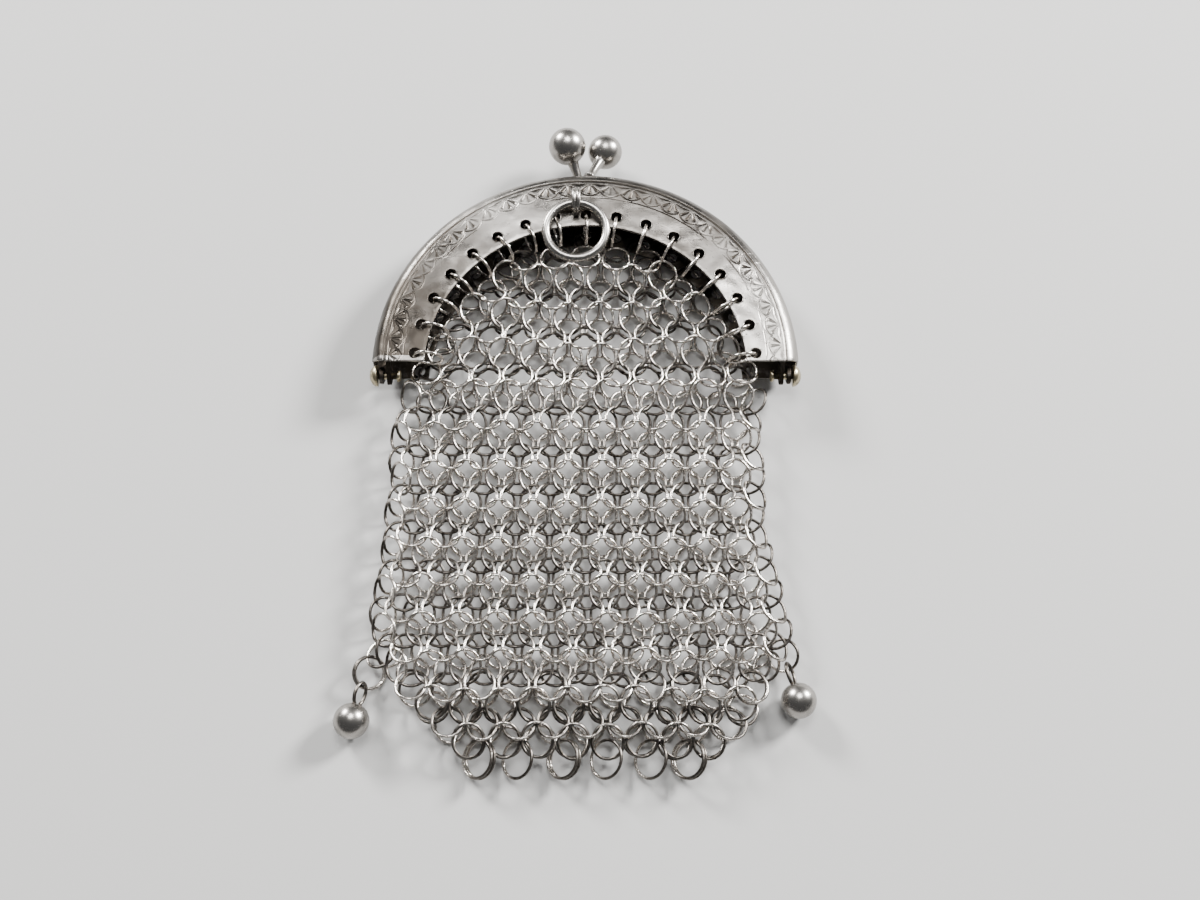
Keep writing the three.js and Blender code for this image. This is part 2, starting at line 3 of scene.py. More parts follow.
import bmesh
import bpy
import numpy as np
from bpy.props import FloatProperty, FloatVectorProperty, PointerProperty
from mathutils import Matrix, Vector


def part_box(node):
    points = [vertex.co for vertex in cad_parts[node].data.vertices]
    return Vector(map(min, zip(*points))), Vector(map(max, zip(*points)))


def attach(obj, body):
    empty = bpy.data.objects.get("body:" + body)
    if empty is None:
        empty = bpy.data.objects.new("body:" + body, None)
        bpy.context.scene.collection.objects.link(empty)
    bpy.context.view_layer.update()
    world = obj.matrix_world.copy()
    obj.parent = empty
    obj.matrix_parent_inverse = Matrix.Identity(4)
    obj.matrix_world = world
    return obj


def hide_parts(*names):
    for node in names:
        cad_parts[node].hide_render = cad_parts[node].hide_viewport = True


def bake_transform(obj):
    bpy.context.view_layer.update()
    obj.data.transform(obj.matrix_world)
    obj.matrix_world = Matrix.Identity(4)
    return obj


bl_info = {
    "name": "Mesh coin purse",
    "version": (1, 0, 0),
    "blender": (4, 5, 0),
    "location": "3D View > Sidebar > Purse",
    "description": "Makes the plates, rings, mail and drops of a silver mesh coin purse",
    "category": "Add Mesh",
}

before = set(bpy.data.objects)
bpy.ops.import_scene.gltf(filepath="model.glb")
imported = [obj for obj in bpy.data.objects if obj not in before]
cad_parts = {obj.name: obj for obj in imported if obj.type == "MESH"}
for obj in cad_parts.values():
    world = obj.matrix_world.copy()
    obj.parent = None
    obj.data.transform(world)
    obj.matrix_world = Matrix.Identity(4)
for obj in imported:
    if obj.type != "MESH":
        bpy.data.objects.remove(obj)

# Sizes shared by the pieces, in millimetres, as in the frame

MM = 0.001
FRAME_MIDDLE = 4.25
HALF_DEPTH = 3.25
FACE_LEVEL = FRAME_MIDDLE + HALF_DEPTH
ARCH_RISE = 0.8
FACE_RADIUS = 28.0
FLANGE_WIDTH = 2.0
FLANGE_DROP = 3.1
MOUTH_RADIUS = 22.4
MOUTH_DROP = 1.0
END_RELIEF = 1.2
HOLE_CIRCLE_RADIUS = 23.8
HOLE_CIRCLE_DROP = 0.6
HOLE_COUNT = 17
FIRST_HOLE = np.radians(4.2)
HOLE_RADIUS = 0.78
HOOK_RADIUS = 2.05
FRONT_HOLE_LEVEL = 7.3
BACK_HOLE_LEVEL = 1.2
FRONT_EYE_LEVEL = 5.25
BACK_EYE_LEVEL = 1.55
HINGE_Y = -0.9
HINGE_Z = FRAME_MIDDLE
FRONT_LEVEL = 4.15
BACK_LEVEL = 1.35
MAIL_MIDDLE = (FRONT_LEVEL + BACK_LEVEL) / 2
FOLD_RADIUS = (FRONT_LEVEL - BACK_LEVEL) / 2
RING_X = -1.32
RING_RADIUS = 4.3
RING_WIRE_RADIUS = 0.62
DROP_RADIUS = 2.35
LINK_RADIUS = 2.1
BOTTOM_RING_RADIUS = 2.45

random = np.random.RandomState(7)


# Settings that a user would change


class PurseSizes(bpy.types.PropertyGroup):
    """Sizes of the wires and rings."""

    wire_radius: FloatProperty(
        name="Wire radius", description="Half the thickness of the mail's wire",
        default=0.00022, min=0.0001, max=0.0004, unit="LENGTH")
    ring_radius: FloatProperty(
        name="Ring radius", description="Mean radius of one ring of the mail",
        default=0.00212, min=0.0019, max=0.0024, unit="LENGTH")
    ring_pull: FloatProperty(
        name="Ring pull", description="Share by which the rings of the mail are pulled long",
        default=0.055, min=0.0, max=0.15, subtype="FACTOR")
    ring_tilt: FloatProperty(
        name="Ring tilt", description="How far the rings of the mail lean out of its surface",
        default=float(np.radians(18)), min=0.15, max=0.6, subtype="ANGLE")
    ring_wave: FloatProperty(
        name="Ring wave", description="How far the wire of a mail ring bends round its neighbours",
        default=0.00010, min=0.0, max=0.0003, unit="LENGTH")
    plate_thickness: FloatProperty(
        name="Plate thickness", description="Thickness of the arch plates",
        default=0.0004, min=0.0003, max=0.0006, unit="LENGTH")
    looseness: FloatProperty(
        name="Looseness", description="How far rings stray from their places",
        default=0.00012, min=0.0, max=0.0004, unit="LENGTH")


class PurseFinish(bpy.types.PropertyGroup):
    """Colours of the silver and of the floor."""

    silver: FloatVectorProperty(
        name="Silver", description="Colour of clean silver",
        default=(0.34, 0.322, 0.30), size=3, min=0, max=1, subtype="COLOR")
    wire: FloatVectorProperty(
        name="Wire", description="Colour of the bright wire",
        default=(0.66, 0.61, 0.555), size=3, min=0, max=1, subtype="COLOR")
    tarnish: FloatVectorProperty(
        name="Tarnish", description="Colour of silver that has darkened",
        default=(0.034, 0.028, 0.022), size=3, min=0, max=1, subtype="COLOR")
    brass_tint: FloatVectorProperty(
        name="Rivet", description="Colour of the yellowed rivets",
        default=(0.46, 0.40, 0.27), size=3, min=0, max=1, subtype="COLOR")
    floor: FloatVectorProperty(
        name="Floor", description="Colour of the pale floor",
        default=(0.42, 0.415, 0.405), size=3, min=0, max=1, subtype="COLOR")


# Meshes from arrays


def mesh_object(name, points, faces, smooth=True):
    """An object from points in millimetres and a list of face arrays, each of one corner count."""
    mesh = bpy.data.meshes.new(name)
    points = np.asarray(points, float).reshape(-1, 3) * MM
    corners = np.concatenate([np.asarray(f).reshape(-1) for f in faces])
    counts = np.concatenate([np.full(len(f), np.asarray(f).shape[1]) for f in faces])
    mesh.vertices.add(len(points))
    mesh.vertices.foreach_set("co", points.reshape(-1))
    mesh.loops.add(len(corners))
    mesh.loops.foreach_set("vertex_index", corners)
    mesh.polygons.add(len(counts))
    mesh.polygons.foreach_set("loop_start", np.concatenate([[0], np.cumsum(counts)[:-1]]))
    mesh.polygons.foreach_set("use_smooth", np.full(len(counts), smooth))
    mesh.update(calc_edges=True)
    mesh.validate()
    piece = bpy.data.objects.new(name, mesh)
    bpy.context.scene.collection.objects.link(piece)
    return piece


def merge_doubles(piece, distance=0.002):
    """Joins points that lie within distance millimetres of each other."""
    work = bmesh.new()
    work.from_mesh(piece.data)
    bmesh.ops.remove_doubles(work, verts=work.verts, dist=distance * MM)
    work.to_mesh(piece.data)
    work.free()


def grid_faces(rows, columns, wrap_rows=False, wrap_columns=False):
    """Quads of a grid of points numbered row by row, with the last row or column joined to the first."""
    i, j = np.meshgrid(
        np.arange(rows if wrap_rows else rows - 1),
        np.arange(columns if wrap_columns else columns - 1), indexing="ij")
    below, beside = (i + 1) % rows, (j + 1) % columns
    corners = [i * columns + j, below * columns + j, below * columns + beside, i * columns + beside]
    return np.stack(corners, -1).reshape(-1, 4)


def unit(vectors):
    """Vectors divided by their lengths."""
    return vectors / np.linalg.norm(vectors, axis=-1, keepdims=True)


def ring_points(centres, first, second, radius, wire, around, section, oval=0.0, wave=0.0):
    """Round wire rings with a going round the ring and b round its wire.

    point = centre + (radius + wire cos b)(cos a first + sin a second) + wire sin b (first x second).
    The ring's radius swells by the share oval along first and shrinks by it along second, and the ring
    leaves its plane by wave sin 3a."""
    centres, first, second = (np.asarray(v, float).reshape(-1, 1, 1, 3) for v in (centres, first, second))
    oval, wave = (np.asarray(v, float).reshape(-1, 1, 1, 1) for v in (oval, wave))
    a = np.linspace(0, 2 * np.pi, around, endpoint=False).reshape(1, around, 1, 1)
    b = np.linspace(0, 2 * np.pi, section, endpoint=False).reshape(1, 1, section, 1)
    normal = np.cross(first, second)
    outward = np.cos(a) * (1 + oval) * first + np.sin(a) * (1 - oval) * second
    direction = np.cos(a) * first + np.sin(a) * second
    bent = wave * np.sin(3 * a) * normal
    return centres + radius * outward + bent + wire * (np.cos(b) * direction + np.sin(b) * normal)


def ring_object(name, centres, first, second, radius, wire, around=24, section=8, oval=0.0, wave=0.0):
    """One object of all the rings given as rows of centres and plane directions."""
    points = ring_points(centres, first, second, radius, wire, around, section, oval, wave)
    count = len(points)
    faces = grid_faces(around, section, True, True)
    faces = (faces[None] + np.arange(count)[:, None, None] * around * section).reshape(-1, 4)
    return mesh_object(name, points, [faces])


def turned_object(name, profile, sides, centre, axis=(0, 0, 1), side=(1, 0, 0)):
    """A surface turned about axis from rows of (radius, height), closed by one point at each end.

    point = centre + height axis + radius (cos a side + sin a axis x side)."""
    axis, side = unit(np.array(axis, float)), np.array(side, float)
    side = unit(side - axis * (side @ axis))
    profile = np.asarray(profile, float)
    a = np.linspace(0, 2 * np.pi, sides, endpoint=False)[None, :, None]
    out = np.cos(a) * side + np.sin(a) * np.cross(axis, side)
    inner = profile[1:-1]
    body = centre + inner[:, 1, None, None] * axis + inner[:, 0, None, None] * out
    ends = centre + profile[[0, -1], 1, None] * axis
    points = np.concatenate([body.reshape(-1, 3), ends])
    rows = len(inner)
    quads = grid_faces(rows, sides, False, True)[:, ::-1]
    i = np.arange(sides)
    low, high = rows * sides, rows * sides + 1
    last = (rows - 1) * sides
    fan_low = np.stack([np.full(sides, low), (i + 1) % sides, i], -1)
    fan_high = np.stack([np.full(sides, high), last + i, last + (i + 1) % sides], -1)
    return mesh_object(name, points, [quads, fan_low, fan_high])


def swept_object(name, path, radii, side, sides=16):
    """A round bar along a flat path, closed at both ends.

    point = path + radius (cos a side + sin a tangent x side), and side is square to the path's plane."""
    path, side = np.asarray(path, float), unit(np.array(side, float))
    radii = np.broadcast_to(np.asarray(radii, float), len(path))
    tangent = unit(np.gradient(path, axis=0))
    a = np.linspace(0, 2 * np.pi, sides, endpoint=False)[None, :, None]
    out = np.cos(a) * side + np.sin(a) * np.cross(tangent, side)[:, None]
    body = path[:, None] + radii[:, None, None] * out
    points = np.concatenate([body.reshape(-1, 3), path[[0, -1]]])
    rows = len(path)
    quads = grid_faces(rows, sides, False, True)[:, ::-1]
    i = np.arange(sides)
    low, last = rows * sides, (rows - 1) * sides
    fan_low = np.stack([np.full(sides, low), (i + 1) % sides, i], -1)
    fan_high = np.stack([np.full(sides, low + 1), last + i, last + (i + 1) % sides], -1)
    return mesh_object(name, points, [quads, fan_low, fan_high])


def rounded(piece, width, angle=0.7, segments=2):
    """Rounds the sharp edges of a piece by a width in millimetres."""
    bevel = piece.modifiers.new("rounded edges", "BEVEL")
    bevel.width = width * MM
    bevel.segments = segments
    bevel.limit_method = "ANGLE"
    bevel.angle_limit = angle


def finished(piece, body, slot, *materials):
    """Gives a piece its materials and lets it ride on its body; the slot is not used."""
    for material in materials:
        piece.data.materials.append(material)
    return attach(piece, body)


# Shader maths


class Signal:
    """One output of a material's nodes; arithmetic on it adds Math nodes."""

    def __init__(self, surface, socket):
        self.surface = surface
        self.socket = socket

    def math(self, operation, *terms):
        node = self.surface.add("ShaderNodeMath", {"operation": operation}, dict(enumerate(terms)))
        return Signal(self.surface, node.outputs[0])

    def __add__(self, other):
        return self.math("ADD", self, other)

    def __radd__(self, other):
        return self.math("ADD", other, self)

    def __sub__(self, other):
        return self.math("SUBTRACT", self, other)

    def __rsub__(self, other):
        return self.math("SUBTRACT", other, self)

    def __mul__(self, other):
        return self.math("MULTIPLY", self, other)

    def __pow__(self, other):
        return self.math("POWER", self, other)

    def to(self, operation, *terms):
        return self.math(operation, self, *terms)

    def ramp(self, low, high):
        """0 at low and below, 1 at high and above, smooth between them."""
        node = self.surface.add(
            "ShaderNodeMapRange", {"interpolation_type": "SMOOTHSTEP"},
            {"Value": self, "From Min": low, "From Max": high})
        return Signal(self.surface, node.outputs[0])

    def line(self, place, width):
        """1 where the signal is at place, falling to 0 within width on both sides."""
        return 1 - (self - place).to("ABSOLUTE").ramp(0.0, width)


class Surface:
    """A metal or plain material and the nodes that vary it."""

    def __init__(self, name, **constants):
        self.material = bpy.data.materials.new(name)
        self.material.use_nodes = True
        self.tree = self.material.node_tree
        self.shader = self.tree.nodes["Principled BSDF"]
        for key, value in constants.items():
            self.shader.inputs[key.replace("_", " ")].default_value = value

    def add(self, kind, settings=None, inputs=None):
        """Adds one node: its settings first, then the values or links of its sockets."""
        node = self.tree.nodes.new(kind)
        for key, value in (settings or {}).items():
            setattr(node, key, value)
        for key, value in (inputs or {}).items():
            if isinstance(value, Signal):
                self.tree.links.new(value.socket, node.inputs[key])
            else:
                node.inputs[key].default_value = value
        return node

    def place(self, scale=1000.0):
        """Object coordinates, scaled from metres to millimetres, as a vector and its three parts."""
        coordinates = self.add("ShaderNodeTexCoord")
        mapped = self.add("ShaderNodeVectorMath", {"operation": "SCALE"}, {
            0: Signal(self, coordinates.outputs["Object"]), "Scale": scale})
        vector = Signal(self, mapped.outputs[0])
        parts = self.add("ShaderNodeSeparateXYZ", None, {0: vector})
        return vector, [Signal(self, parts.outputs[k]) for k in range(3)]

    def stretched(self, vector, scale, turn=0.0):
        """The vector turned about Z and scaled along each axis."""
        node = self.add("ShaderNodeMapping", None, {
            "Vector": vector, "Rotation": (0, 0, turn), "Scale": scale})
        return Signal(self, node.outputs[0])

    def noise(self, vector, scale, detail=3.0, roughness=0.55):
        node = self.add("ShaderNodeTexNoise", None, {
            "Vector": vector, "Scale": scale, "Detail": detail, "Roughness": roughness})
        return Signal(self, node.outputs[0])

    def blend(self, share, first, second):
        """first where share is 0 and second where it is 1; both are colours."""
        node = self.add("ShaderNodeMix", {"data_type": "RGBA"}, {0: share, 6: first, 7: second})
        return Signal(self, node.outputs[2])

    def bump(self, height, distance, strength=1.0):
        """Joins a height in millimetres to the normal."""
        node = self.add("ShaderNodeBump", None, {
            "Height": height, "Distance": distance * MM, "Strength": strength})
        self.join(Signal(self, node.outputs[0]), "Normal")

    def join(self, signal, name):
        self.tree.links.new(signal.socket, self.shader.inputs[name])


def four(colour):
    """A colour with full opacity."""
    return (*colour, 1.0)


def plate_material(name, finish):
    """Worn sheet silver with a bright-cut leaf border, engraved lines, scratches and pits, and painted
    highlights and shade.
    """
    s = Surface(name, Metallic=1.0)
    vector, (x, y, z) = s.place()
    up = y - ARCH_RISE
    radius = (x * x + up * up).to("SQRT")
    angle = up.to("ARCTAN2", x)

    fan_pitch, fan_circle, border_edge, outer_groove, inner_groove = 3.1, 27.0, 27.55, 27.95, 25.25
    along = angle * (fan_circle / fan_pitch)
    u = (along.to("FRACT") - 0.5) * fan_pitch
    w = border_edge - radius
    reach = (u * u + w * w).to("SQRT")
    turn = u.to("ARCTAN2", w)
    strokes = ((turn * 8.5).to("COSINE") * 0.5 + 0.5) ** 3.0
    fan = strokes * reach.ramp(0.3, 0.5) * (1 - reach.ramp(1.5, 1.85)) * w.ramp(0.0, 0.15)
    scallop = reach.line(2.0, 0.16) * w.ramp(0.2, 0.4)
    wear = s.noise(vector, 0.22, 2.0).ramp(0.38, 0.60)
    kept = 1 - (1 - x.ramp(-27.0, -21.0)) * (1 - y.ramp(5.0, 14.0))
    border = (fan + scallop * 0.8).to("MINIMUM", 1.0) * (1 - kept * wear * 0.75)

    outer_line = radius.line(outer_groove, 0.22)
    inner_line = radius.line(inner_groove, 0.13) * s.noise(vector, 0.16, 1.0).ramp(0.45, 0.6)
    engraved = (border + outer_line + inner_line * 0.7).to("MINIMUM", 1.0)

    scratches = s.noise(s.stretched(vector, (0.25, 5.0, 1.0), 0.35), 1.0, 4.0)
    cross = s.noise(s.stretched(vector, (4.0, 0.2, 1.0), 0.5), 1.0, 4.0)
    scratch = scratches.ramp(0.60, 0.72) * 0.6 + cross.ramp(0.62, 0.74) * 0.5
    pits = s.noise(vector, 2.2, 3.0).ramp(0.66, 0.74) * (0.25 + x.ramp(12.0, 24.0))
    patina = s.noise(vector, 0.35, 5.0).ramp(0.35, 0.75)
    dents = s.noise(vector, 0.16, 2.0)
    dull = s.noise(vector, 0.12, 3.0).ramp(0.4, 0.65)

    # Painted highlight: lighter at the right end and in a broad streak at the top left, where the polished
    # plate catches the light; painted shade at the left end; darker elsewhere and inside the ring
    edge = angle + (dents - 0.5) * 0.6
    unshaded = (1 - edge.ramp(0.45, 0.85) + edge.line(2.02, 0.42)).to("MINIMUM", 1.0)
    ring_centre_y = 20.5
    hidden = ((x - RING_X) ** 2.0 + (y - ring_centre_y) ** 2.0).to("SQRT")
    covered = (1 - hidden.ramp(3.9, 4.5)) * y.ramp(23.1, 23.8)
    # Painted highlight lowers the tone at the right end and the top-left streak, painted shade raises it at
    # the left end
    tone = 0.62 - unshaded * 0.55 + edge.ramp(2.45, 2.8) * 0.25 + covered * 0.9
    dark = (engraved * 0.75 + pits * 0.6 + patina * 0.2 + scratch * 0.1 + tone).to("MINIMUM", 0.95)
    s.join(s.blend(dark, four(finish.silver), four(finish.tarnish)), "Base Color")
    s.join(0.22 + patina * 0.12 + dull * 0.12 + engraved * 0.1, "Roughness")
    grain = s.noise(vector, 3.0, 4.0)
    s.bump(dents * 0.55 - engraved * 0.16 - pits * 0.05 + scratch * 0.02 + grain * 0.012, 1.0, 0.6)
    return s.material


def inner_material(name, finish):
    """The inside of the plates and the hinge ears: silver gone nearly black, partly tarnish and partly painted
    shade, with a few worn spots.
    """
    s = Surface(name, Metallic=1.0)
    vector, _ = s.place()
    patches = s.noise(vector, 0.7, 5.0).ramp(0.5, 0.75)
    s.join(s.blend(patches * 0.35, four(finish.tarnish), four(finish.silver)), "Base Color")
    s.join(0.5 - patches * 0.15, "Roughness")
    s.bump(s.noise(vector, 1.2, 4.0) * 0.08, 1.0, 0.6)
    return s.material


def polished_material(name, finish, tarnish=0.25):
    """Polished silver with fine dents and a little tarnish in patches."""
    s = Surface(name, Metallic=1.0)
    vector, _ = s.place()
    patches = s.noise(vector, 0.5, 5.0).ramp(0.5, 0.8)
    specks = s.noise(vector, 3.5, 2.0).ramp(0.68, 0.76)
    dark = (patches * tarnish + specks * 0.4).to("MINIMUM", 0.9)
    s.join(s.blend(dark, four(finish.silver), four(finish.tarnish)), "Base Color")
    s.join(0.27 + patches * 0.1 + specks * 0.1, "Roughness")
    s.bump(s.noise(vector, 0.5, 3.0) * 0.05 - specks * 0.02, 1.0, 0.5)
    return s.material


def wire_material(name, finish):
    """Drawn silver wire, bright where it rubs, with random darker patches and painted shade towards the middle
    of the bag between its two layers.
    """
    s = Surface(name, Metallic=1.0)
    vector, (_, _, z) = s.place()
    # Painted shade: wire near the bag's middle height, between the front and back layers, is darkened towards
    # the tarnish colour
    inner = 1 - (z - MAIL_MIDDLE).to("ABSOLUTE").ramp(0.9, 1.9)
    patches = s.noise(vector, 0.3, 4.0).ramp(0.4, 0.7)
    fine = s.noise(vector, 2.4, 3.0).ramp(0.45, 0.75)
    dark = inner * 0.82 + patches * 0.1 + fine * 0.15
    s.join(s.blend(dark, four(finish.wire), four(finish.tarnish)), "Base Color")
    s.join(0.2 + fine * 0.12 + inner * 0.12, "Roughness")
    s.bump(s.noise(vector, 4.0, 2.0) * 0.02, 1.0, 0.5)
    return s.material


def rivet_material(name, finish):
    """Yellowed rivets with dark patches."""
    s = Surface(name, Metallic=1.0)
    vector, _ = s.place()
    patches = s.noise(vector, 1.2, 4.0).ramp(0.45, 0.7)
    s.join(s.blend(patches * 0.5, four(finish.brass_tint), four(finish.tarnish)), "Base Color")
    s.join(0.28 + patches * 0.15, "Roughness")
    s.bump(s.noise(vector, 1.6, 3.0) * 0.06, 1.0, 0.5)
    return s.material


def floor_material(name, finish):
    """A plain pale floor."""
    s = Surface(name, Roughness=0.9)
    s.shader.inputs["Base Color"].default_value = four(finish.floor)
    return s.material


# The frame


def hole_angles():
    """Angles of the hook holes round their own circle, from the right end to the left."""
    return np.linspace(FIRST_HOLE, np.pi - FIRST_HOLE, HOLE_COUNT)


def on_circle(radius, drop, angle):
    """Points on a circle whose centre lies drop below the origin."""
    return np.stack([radius * np.cos(angle), radius * np.sin(angle) - drop], -1)


def arch_point(share, radius, drop, end_y=0.0):
    """A point at a share of the arch from its right end to its left, both ends cut at y = end_y."""
    first = np.arcsin((end_y + drop) / radius)
    return on_circle(radius, drop, first + share * (np.pi - 2 * first))


def plate_surface():
    """The outer skin of one arch plate with z = 0 between the plates, as points and quads.

    Round each hole a patch goes from the hole's circle to its cell of the inner band; the rest is one
    grid whose rows go over the face, then round the flange: radius + width sin t, depth (1 - cos t)."""
    band_radius = 25.35
    steps, climbs = 8, 6
    start = np.arcsin(HOLE_CIRCLE_DROP / HOLE_CIRCLE_RADIUS)
    shares = (hole_angles() - start) / (np.pi - 2 * start)
    borders = np.concatenate([[0], (shares[1:] + shares[:-1]) / 2, [1]])
    low, high = borders[:-1, None], borders[1:, None]

    go = np.arange(steps) / steps
    climb = np.arange(climbs) / climbs
    across = np.concatenate([go, np.ones(climbs), 1 - go, np.zeros(climbs)])[None]
    rise = np.concatenate([np.zeros(steps), climb, np.ones(steps), 1 - climb])[None]
    share = low + (high - low) * across
    inner = arch_point(share, MOUTH_RADIUS, MOUTH_DROP)
    outer = arch_point(share, band_radius, HOLE_CIRCLE_DROP)
    edge = inner + (outer - inner) * rise[..., None]
    centre = on_circle(HOLE_CIRCLE_RADIUS, HOLE_CIRCLE_DROP, hole_angles())[:, None]
    circle = centre + HOLE_RADIUS * unit(edge - centre)
    shares_out = np.array([0.0, 0.2, 0.55, 1.0])[None, :, None, None]
    patch = circle[:, None] + (edge - circle)[:, None] * shares_out
    count, rows, columns = patch.shape[:3]
    patch_points = np.concatenate([patch, np.full((*patch.shape[:3], 1), HALF_DEPTH)], -1).reshape(-1, 3)
    faces = grid_faces(rows, columns, False, True)
    patch_faces = (faces[None] + np.arange(count)[:, None, None] * rows * columns).reshape(-1, 4)

    cells = [np.linspace(a, b, steps + 1) for a, b in zip(borders[:-1], borders[1:])]
    along = np.unique(np.concatenate(cells).round(9))
    level = np.full((len(along), 1), HALF_DEPTH)
    rows_out = [np.concatenate([arch_point(along, band_radius, HOLE_CIRCLE_DROP), level], -1)]
    face = np.concatenate([arch_point(along, FACE_RADIUS, -ARCH_RISE), level], -1)
    rows_out += [rows_out[0] + (face - rows_out[0]) * k for k in (0.33, 0.67, 1.0)]
    for t in np.radians([12, 25, 38, 50, 62, 74, 83, 90]):
        z = HALF_DEPTH - FLANGE_DROP * (1 - np.cos(t))
        end = END_RELIEF * (1 - z / HALF_DEPTH)
        points = arch_point(along, FACE_RADIUS + FLANGE_WIDTH * np.sin(t), -ARCH_RISE, end)
        rows_out.append(np.concatenate([points, np.full((len(along), 1), z)], -1))
    sheet = np.stack(rows_out)
    sheet_faces = grid_faces(len(rows_out), len(along)) + len(patch_points)
    points = np.concatenate([patch_points, sheet.reshape(-1, 3)])
    return points, [patch_faces[:, ::-1], sheet_faces]


def make_plate(name, up, thickness):
    """One arch plate, its upper side turned to +Z or, with up = -1, to -Z."""
    points, faces = plate_surface()
    points = points * (1, 1, up) + (0, 0, FRAME_MIDDLE)
    if up < 0:
        faces = [f[:, ::-1] for f in faces]
    piece = mesh_object(name, points, faces)
    merge_doubles(piece)
    wall = piece.modifiers.new("sheet", "SOLIDIFY")
    wall.thickness = thickness
    wall.offset = -1
    wall.material_offset = 1
    rounded(piece, 0.07)
    return piece


def make_ears(name, centre_x, up):
    """Both hinge ears of one plate: a round eye and its neck, cut from sheet.

    The outline is the hinge circle's lower half and lines up to the plate's foot."""
    eye_radius, neck, sheet_half = 1.25, 0.4, 0.3
    turn = np.linspace(np.pi, 2 * np.pi, 17)
    circle = np.stack([HINGE_Y + eye_radius * np.cos(turn), eye_radius * np.sin(turn)], -1)
    foot = HALF_DEPTH - 0.3
    outline = np.concatenate([circle, [[HINGE_Y + 1.3, neck], [2.3, foot], [0.5, foot]]])
    count = len(outline)
    points, faces, caps = [], [], []
    for k, side in enumerate((-1, 1)):
        for x in (side * centre_x - sheet_half, side * centre_x + sheet_half):
            level = FRAME_MIDDLE + up * outline[:, 1]
            points.append(np.column_stack([np.full(count, x), outline[:, 0], level]))
        base = 2 * k * count
        i = np.arange(count)
        faces.append(np.stack([i, (i + 1) % count, count + (i + 1) % count, count + i], -1) + base)
        caps.append(np.stack([i[::-1], count + i]) + base)
    faces = np.concatenate(faces)
    caps = np.concatenate(caps)
    if up > 0:
        faces, caps = faces[:, ::-1], caps[:, ::-1]
    piece = mesh_object(name, np.concatenate(points), [faces, caps], smooth=False)
    rounded(piece, 0.1)
    return piece


def ball_profile(radius, steps=22):
    """Rows of (radius, height) of a ball from its lowest to its highest point."""
    t = np.linspace(-np.pi / 2, np.pi / 2, steps)
    return np.stack([radius * np.cos(t), radius * np.sin(t)], -1)


def make_clasp(name, foot, centre, radius):
    """A ball and its stem, which spreads into solder at the foot and at the ball."""
    foot, centre = np.array(foot, float), np.array(centre, float)
    axis = unit(centre - foot)
    ball = turned_object(name, ball_profile(radius), 32, centre, axis, (1, 0, 0))
    share = np.linspace(0, 1, 14)
    length = np.linalg.norm(centre - foot) - radius * 0.8
    path = foot + share[:, None] * axis * length
    spread = 0.5 + 0.2 * share + 0.4 * np.exp(-share * 9) + 0.35 * np.exp(-(1 - share) * 6)
    stem = swept_object(name + "_stem", path, spread, np.cross(axis, (0, 0, 1)), 16)
    return ball, stem


class PURSE_OT_plates(bpy.types.Operator):
    """The two arch plates with their flanges, hook holes and hinge ears"""

    bl_idname = "purse.plates"
    bl_label = "Arch plates"

    def execute(self, context):
        sizes, finish = context.scene.purse_sizes, context.scene.purse_finish
        face = plate_material("engraved_silver", finish)
        # Inner faces and ears get near-black silver that is partly tarnish and partly painted shade
        inside = inner_material("tarnish_and_painted_shade_silver", finish)
        for name, up, ear_x, body, node in (
            ("plate_front", 1, 27.5, "front", "front_frame"),
            ("plate_back", -1, 28.5, "back", "back_frame"),
        ):
            plate = finished(make_plate(name, up, sizes.plate_thickness), body, "plate_silver", face, inside)
            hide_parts(node)
            finished(make_ears(name + "_ears", ear_x, up), body, "plate_silver", inside)
        return {"FINISHED"}


class PURSE_OT_clasp(bpy.types.Operator):
    """The two clasp balls on their stems"""

    bl_idname = "purse.clasp"
    bl_label = "Clasp balls"

    def execute(self, context):
        finish = context.scene.purse_finish
        polished = polished_material("polished_silver_balls", finish)
        rough = polished_material("soldered_silver", finish, 0.7)
        ball_x, ball_y, foot_y, foot_rise = 2.825, 36.0, 30.4, 1.6
        for name, body, radius, side, foot_x, rise in (
            ("clasp_ball_right", "front", 2.55, 1, 0.5, -0.3),
            ("clasp_ball_left", "back", 2.75, -1, -0.6, 1.2),
        ):
            foot = (foot_x, foot_y, FRAME_MIDDLE + side * foot_rise)
            centre = (side * ball_x, ball_y, FRAME_MIDDLE + rise)
            ball, stem = make_clasp(name, foot, centre, radius)
            finished(ball, body, "ball_silver", polished)
            finished(stem, body, "ball_silver", rough)
        return {"FINISHED"}


class PURSE_OT_rivets(bpy.types.Operator):
    """The hinge rivets with their domed heads"""

    bl_idname = "purse.rivets"
    bl_label = "Hinge rivets"

    def execute(self, context):
        material = rivet_material("yellowed_silver", context.scene.purse_finish)
        dome = np.radians([0, 15, 30, 45, 60, 75])
        tail = [(0, 25.9), (0.7, 25.95), (0.85, 26.15), (0.85, 26.4), (0.5, 26.42)]
        profile = tail + [(0.5, 29.08), (1.45, 29.1)]
        profile += [(1.55 * np.cos(t), 29.15 + 1.15 * np.sin(t)) for t in dome]
        profile += [(0, 30.3)]
        for name, side in (("rivet_head_left", -1), ("rivet_head_right", 1)):
            piece = turned_object(
                name, profile, 28, np.array([0, HINGE_Y, HINGE_Z]), (side, 0, 0), (0, 0, 1))
            finished(piece, "back", "rivet_silver", material)
            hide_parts("rivet_left" if side < 0 else "rivet_right")
        return {"FINISHED"}


